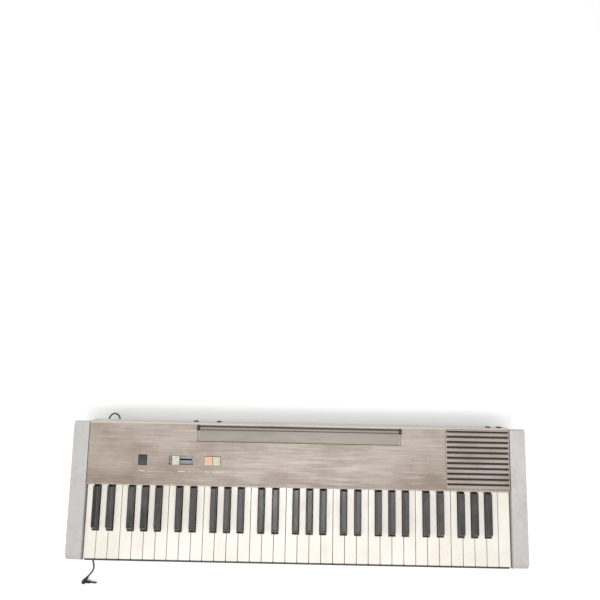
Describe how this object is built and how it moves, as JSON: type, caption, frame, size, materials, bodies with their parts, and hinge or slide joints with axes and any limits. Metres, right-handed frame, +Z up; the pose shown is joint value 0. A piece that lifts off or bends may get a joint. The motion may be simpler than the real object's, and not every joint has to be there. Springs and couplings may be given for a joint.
{
  "type": "digital piano",
  "caption": "Slim table-top electronic piano with a full-width keyboard, a slatted loudspeaker, a few controls and a folding music rest.",
  "frame": {"origin": "on the ground under the middle of the housing, level with the soles of the feet", "axes": "+X along the keys from low to high notes, the player sits at -Y, +Z up"},
  "size_m": [0.911, 0.3586, 0.0915],
  "materials": {
    "charcoal_plastic": "moulded, fine grain",
    "taupe_plastic": "satin paint with a slight metallic look",
    "silver_plastic": "satin silver paint",
    "ivory_key": "smooth, half gloss",
    "black_key": "smooth, half gloss",
    "zinc_steel": "folded zinc plated sheet",
    "circuit_board": "fibre board",
    "grey_plastic": "satin",
    "cream_plastic": "satin",
    "peach_plastic": "satin",
    "speaker_paper": "pressed paper",
    "black_rubber": "soft, dull"
  },
  "bodies": {
    "body": {"base_tray": "charcoal_plastic", "top_panel": "taupe_plastic", "speaker_grille": "taupe_plastic", "left_cheek": "silver_plastic", "right_cheek": "silver_plastic", "key_frame": "zinc_steel", "contact_board": "circuit_board", "main_board": "circuit_board", "loudspeaker": "speaker_paper", "strain_relief": "black_rubber", "power_lead": "black_rubber", "lead_plug": "black_rubber"},
    "music_rest": {"music_rest": "taupe_plastic"},
    "volume_knob": {"volume_knob": "cream_plastic"},
    "power_rocker": {"power_rocker": "grey_plastic"},
    "tone_button_a": {"tone_button_a": "peach_plastic"},
    "tone_button_b": {"tone_button_b": "cream_plastic"},
    "black_keys_octave_1": {"black_keys_octave_1": "black_key"},
    "black_keys_octave_2": {"black_keys_octave_2": "black_key"},
    "black_keys_octave_3": {"black_keys_octave_3": "black_key"},
    "black_keys_octave_4": {"black_keys_octave_4": "black_key"},
    "black_keys_octave_5": {"black_keys_octave_5": "black_key"},
    "white_key_01": {"white_key_01": "ivory_key"},
    "white_key_02": {"white_key_02": "ivory_key"},
    "white_key_03": {"white_key_03": "ivory_key"},
    "white_key_04": {"white_key_04": "ivory_key"},
    "white_key_05": {"white_key_05": "ivory_key"},
    "white_key_06": {"white_key_06": "ivory_key"},
    "white_key_07": {"white_key_07": "ivory_key"},
    "white_key_08": {"white_key_08": "ivory_key"},
    "white_key_09": {"white_key_09": "ivory_key"},
    "white_key_10": {"white_key_10": "ivory_key"},
    "white_key_11": {"white_key_11": "ivory_key"},
    "white_key_12": {"white_key_12": "ivory_key"},
    "white_key_13": {"white_key_13": "ivory_key"},
    "white_key_14": {"white_key_14": "ivory_key"},
    "white_key_15": {"white_key_15": "ivory_key"},
    "white_key_16": {"white_key_16": "ivory_key"},
    "white_key_17": {"white_key_17": "ivory_key"},
    "white_key_18": {"white_key_18": "ivory_key"},
    "white_key_19": {"white_key_19": "ivory_key"},
    "white_key_20": {"white_key_20": "ivory_key"},
    "white_key_21": {"white_key_21": "ivory_key"},
    "white_key_22": {"white_key_22": "ivory_key"},
    "white_key_23": {"white_key_23": "ivory_key"},
    "white_key_24": {"white_key_24": "ivory_key"},
    "white_key_25": {"white_key_25": "ivory_key"},
    "white_key_26": {"white_key_26": "ivory_key"},
    "white_key_27": {"white_key_27": "ivory_key"},
    "white_key_28": {"white_key_28": "ivory_key"},
    "white_key_29": {"white_key_29": "ivory_key"},
    "white_key_30": {"white_key_30": "ivory_key"},
    "white_key_31": {"white_key_31": "ivory_key"},
    "white_key_32": {"white_key_32": "ivory_key"},
    "white_key_33": {"white_key_33": "ivory_key"},
    "white_key_34": {"white_key_34": "ivory_key"},
    "white_key_35": {"white_key_35": "ivory_key"},
    "white_key_36": {"white_key_36": "ivory_key"}
  },
  "joints": [
    {"name": "a1_music_rest_hinge", "type": "hinge", "parent": "body", "child": "music_rest", "pos_m": [0, 0.127, 0.087], "axis": [-1, 0, 0], "range_deg": [0, 80]},
    {"name": "a2_volume_slide", "type": "slide", "parent": "body", "child": "volume_knob", "axis": [1, 0, 0], "range_m": [-0.007, 0.027]},
    {"name": "a3_power_rocker", "type": "hinge", "parent": "body", "child": "power_rocker", "pos_m": [-0.3136, 0.062, 0.081], "axis": [-1, 0, 0], "range_deg": [0, 10]},
    {"name": "a4_tone_button_a_press", "type": "slide", "parent": "body", "child": "tone_button_a", "axis": [0, 0, -1], "range_m": [0, 0.0025], "stiffness_N_per_m": 300, "springref_m": -0.002},
    {"name": "a5_tone_button_b_press", "type": "slide", "parent": "body", "child": "tone_button_b", "axis": [0, 0, -1], "range_m": [0, 0.0025], "stiffness_N_per_m": 300, "springref_m": -0.002},
    {"name": "b1_black_keys_octave_1", "type": "hinge", "parent": "body", "child": "black_keys_octave_1", "pos_m": [-0.33255, 0.043, 0.066], "axis": [1, 0, 0], "range_deg": [0, 3], "stiffness_Nm_per_rad": 1.5, "springref_deg": -17.19},
    {"name": "b2_black_keys_octave_2", "type": "hinge", "parent": "body", "child": "black_keys_octave_2", "pos_m": [-0.16805, 0.043, 0.066], "axis": [1, 0, 0], "range_deg": [0, 3], "stiffness_Nm_per_rad": 1.5, "springref_deg": -17.19},
    {"name": "b3_black_keys_octave_3", "type": "hinge", "parent": "body", "child": "black_keys_octave_3", "pos_m": [-0.00355, 0.043, 0.066], "axis": [1, 0, 0], "range_deg": [0, 3], "stiffness_Nm_per_rad": 1.5, "springref_deg": -17.19},
    {"name": "b4_black_keys_octave_4", "type": "hinge", "parent": "body", "child": "black_keys_octave_4", "pos_m": [0.16095, 0.043, 0.066], "axis": [1, 0, 0], "range_deg": [0, 3], "stiffness_Nm_per_rad": 1.5, "springref_deg": -17.19},
    {"name": "b5_black_keys_octave_5", "type": "hinge", "parent": "body", "child": "black_keys_octave_5", "pos_m": [0.32545, 0.043, 0.066], "axis": [1, 0, 0], "range_deg": [0, 3], "stiffness_Nm_per_rad": 1.5, "springref_deg": -17.19},
    {"name": "key_01_press", "type": "hinge", "parent": "body", "child": "white_key_01", "pos_m": [-0.41125, 0.043, 0.066], "axis": [1, 0, 0], "range_deg": [0, 3], "stiffness_Nm_per_rad": 0.36, "springref_deg": -17.19},
    {"name": "key_02_press", "type": "hinge", "parent": "body", "child": "white_key_02", "pos_m": [-0.38775, 0.043, 0.066], "axis": [1, 0, 0], "range_deg": [0, 3], "stiffness_Nm_per_rad": 0.36, "springref_deg": -17.19},
    {"name": "key_03_press", "type": "hinge", "parent": "body", "child": "white_key_03", "pos_m": [-0.36425, 0.043, 0.066], "axis": [1, 0, 0], "range_deg": [0, 3], "stiffness_Nm_per_rad": 0.36, "springref_deg": -17.19},
    {"name": "key_04_press", "type": "hinge", "parent": "body", "child": "white_key_04", "pos_m": [-0.34075, 0.043, 0.066], "axis": [1, 0, 0], "range_deg": [0, 3], "stiffness_Nm_per_rad": 0.36, "springref_deg": -17.19},
    {"name": "key_05_press", "type": "hinge", "parent": "body", "child": "white_key_05", "pos_m": [-0.31725, 0.043, 0.066], "axis": [1, 0, 0], "range_deg": [0, 3], "stiffness_Nm_per_rad": 0.36, "springref_deg": -17.19},
    {"name": "key_06_press", "type": "hinge", "parent": "body", "child": "white_key_06", "pos_m": [-0.29375, 0.043, 0.066], "axis": [1, 0, 0], "range_deg": [0, 3], "stiffness_Nm_per_rad": 0.36, "springref_deg": -17.19},
    {"name": "key_07_press", "type": "hinge", "parent": "body", "child": "white_key_07", "pos_m": [-0.27025, 0.043, 0.066], "axis": [1, 0, 0], "range_deg": [0, 3], "stiffness_Nm_per_rad": 0.36, "springref_deg": -17.19},
    {"name": "key_08_press", "type": "hinge", "parent": "body", "child": "white_key_08", "pos_m": [-0.24675, 0.043, 0.066], "axis": [1, 0, 0], "range_deg": [0, 3], "stiffness_Nm_per_rad": 0.36, "springref_deg": -17.19},
    {"name": "key_09_press", "type": "hinge", "parent": "body", "child": "white_key_09", "pos_m": [-0.22325, 0.043, 0.066], "axis": [1, 0, 0], "range_deg": [0, 3], "stiffness_Nm_per_rad": 0.36, "springref_deg": -17.19},
    {"name": "key_10_press", "type": "hinge", "parent": "body", "child": "white_key_10", "pos_m": [-0.19975, 0.043, 0.066], "axis": [1, 0, 0], "range_deg": [0, 3], "stiffness_Nm_per_rad": 0.36, "springref_deg": -17.19},
    {"name": "key_11_press", "type": "hinge", "parent": "body", "child": "white_key_11", "pos_m": [-0.17625, 0.043, 0.066], "axis": [1, 0, 0], "range_deg": [0, 3], "stiffness_Nm_per_rad": 0.36, "springref_deg": -17.19},
    {"name": "key_12_press", "type": "hinge", "parent": "body", "child": "white_key_12", "pos_m": [-0.15275, 0.043, 0.066], "axis": [1, 0, 0], "range_deg": [0, 3], "stiffness_Nm_per_rad": 0.36, "springref_deg": -17.19},
    {"name": "key_13_press", "type": "hinge", "parent": "body", "child": "white_key_13", "pos_m": [-0.12925, 0.043, 0.066], "axis": [1, 0, 0], "range_deg": [0, 3], "stiffness_Nm_per_rad": 0.36, "springref_deg": -17.19},
    {"name": "key_14_press", "type": "hinge", "parent": "body", "child": "white_key_14", "pos_m": [-0.10575, 0.043, 0.066], "axis": [1, 0, 0], "range_deg": [0, 3], "stiffness_Nm_per_rad": 0.36, "springref_deg": -17.19},
    {"name": "key_15_press", "type": "hinge", "parent": "body", "child": "white_key_15", "pos_m": [-0.08225, 0.043, 0.066], "axis": [1, 0, 0], "range_deg": [0, 3], "stiffness_Nm_per_rad": 0.36, "springref_deg": -17.19},
    {"name": "key_16_press", "type": "hinge", "parent": "body", "child": "white_key_16", "pos_m": [-0.05875, 0.043, 0.066], "axis": [1, 0, 0], "range_deg": [0, 3], "stiffness_Nm_per_rad": 0.36, "springref_deg": -17.19},
    {"name": "key_17_press", "type": "hinge", "parent": "body", "child": "white_key_17", "pos_m": [-0.03525, 0.043, 0.066], "axis": [1, 0, 0], "range_deg": [0, 3], "stiffness_Nm_per_rad": 0.36, "springref_deg": -17.19},
    {"name": "key_18_press", "type": "hinge", "parent": "body", "child": "white_key_18", "pos_m": [-0.01175, 0.043, 0.066], "axis": [1, 0, 0], "range_deg": [0, 3], "stiffness_Nm_per_rad": 0.36, "springref_deg": -17.19},
    {"name": "key_19_press", "type": "hinge", "parent": "body", "child": "white_key_19", "pos_m": [0.01175, 0.043, 0.066], "axis": [1, 0, 0], "range_deg": [0, 3], "stiffness_Nm_per_rad": 0.36, "springref_deg": -17.19},
    {"name": "key_20_press", "type": "hinge", "parent": "body", "child": "white_key_20", "pos_m": [0.03525, 0.043, 0.066], "axis": [1, 0, 0], "range_deg": [0, 3], "stiffness_Nm_per_rad": 0.36, "springref_deg": -17.19},
    {"name": "key_21_press", "type": "hinge", "parent": "body", "child": "white_key_21", "pos_m": [0.05875, 0.043, 0.066], "axis": [1, 0, 0], "range_deg": [0, 3], "stiffness_Nm_per_rad": 0.36, "springref_deg": -17.19},
    {"name": "key_22_press", "type": "hinge", "parent": "body", "child": "white_key_22", "pos_m": [0.08225, 0.043, 0.066], "axis": [1, 0, 0], "range_deg": [0, 3], "stiffness_Nm_per_rad": 0.36, "springref_deg": -17.19},
    {"name": "key_23_press", "type": "hinge", "parent": "body", "child": "white_key_23", "pos_m": [0.10575, 0.043, 0.066], "axis": [1, 0, 0], "range_deg": [0, 3], "stiffness_Nm_per_rad": 0.36, "springref_deg": -17.19},
    {"name": "key_24_press", "type": "hinge", "parent": "body", "child": "white_key_24", "pos_m": [0.12925, 0.043, 0.066], "axis": [1, 0, 0], "range_deg": [0, 3], "stiffness_Nm_per_rad": 0.36, "springref_deg": -17.19},
    {"name": "key_25_press", "type": "hinge", "parent": "body", "child": "white_key_25", "pos_m": [0.15275, 0.043, 0.066], "axis": [1, 0, 0], "range_deg": [0, 3], "stiffness_Nm_per_rad": 0.36, "springref_deg": -17.19},
    {"name": "key_26_press", "type": "hinge", "parent": "body", "child": "white_key_26", "pos_m": [0.17625, 0.043, 0.066], "axis": [1, 0, 0], "range_deg": [0, 3], "stiffness_Nm_per_rad": 0.36, "springref_deg": -17.19},
    {"name": "key_27_press", "type": "hinge", "parent": "body", "child": "white_key_27", "pos_m": [0.19975, 0.043, 0.066], "axis": [1, 0, 0], "range_deg": [0, 3], "stiffness_Nm_per_rad": 0.36, "springref_deg": -17.19},
    {"name": "key_28_press", "type": "hinge", "parent": "body", "child": "white_key_28", "pos_m": [0.22325, 0.043, 0.066], "axis": [1, 0, 0], "range_deg": [0, 3], "stiffness_Nm_per_rad": 0.36, "springref_deg": -17.19},
    {"name": "key_29_press", "type": "hinge", "parent": "body", "child": "white_key_29", "pos_m": [0.24675, 0.043, 0.066], "axis": [1, 0, 0], "range_deg": [0, 3], "stiffness_Nm_per_rad": 0.36, "springref_deg": -17.19},
    {"name": "key_30_press", "type": "hinge", "parent": "body", "child": "white_key_30", "pos_m": [0.27025, 0.043, 0.066], "axis": [1, 0, 0], "range_deg": [0, 3], "stiffness_Nm_per_rad": 0.36, "springref_deg": -17.19},
    {"name": "key_31_press", "type": "hinge", "parent": "body", "child": "white_key_31", "pos_m": [0.29375, 0.043, 0.066], "axis": [1, 0, 0], "range_deg": [0, 3], "stiffness_Nm_per_rad": 0.36, "springref_deg": -17.19},
    {"name": "key_32_press", "type": "hinge", "parent": "body", "child": "white_key_32", "pos_m": [0.31725, 0.043, 0.066], "axis": [1, 0, 0], "range_deg": [0, 3], "stiffness_Nm_per_rad": 0.36, "springref_deg": -17.19},
    {"name": "key_33_press", "type": "hinge", "parent": "body", "child": "white_key_33", "pos_m": [0.34075, 0.043, 0.066], "axis": [1, 0, 0], "range_deg": [0, 3], "stiffness_Nm_per_rad": 0.36, "springref_deg": -17.19},
    {"name": "key_34_press", "type": "hinge", "parent": "body", "child": "white_key_34", "pos_m": [0.36425, 0.043, 0.066], "axis": [1, 0, 0], "range_deg": [0, 3], "stiffness_Nm_per_rad": 0.36, "springref_deg": -17.19},
    {"name": "key_35_press", "type": "hinge", "parent": "body", "child": "white_key_35", "pos_m": [0.38775, 0.043, 0.066], "axis": [1, 0, 0], "range_deg": [0, 3], "stiffness_Nm_per_rad": 0.36, "springref_deg": -17.19},
    {"name": "key_36_press", "type": "hinge", "parent": "body", "child": "white_key_36", "pos_m": [0.41125, 0.043, 0.066], "axis": [1, 0, 0], "range_deg": [0, 3], "stiffness_Nm_per_rad": 0.36, "springref_deg": -17.19}
  ]
}
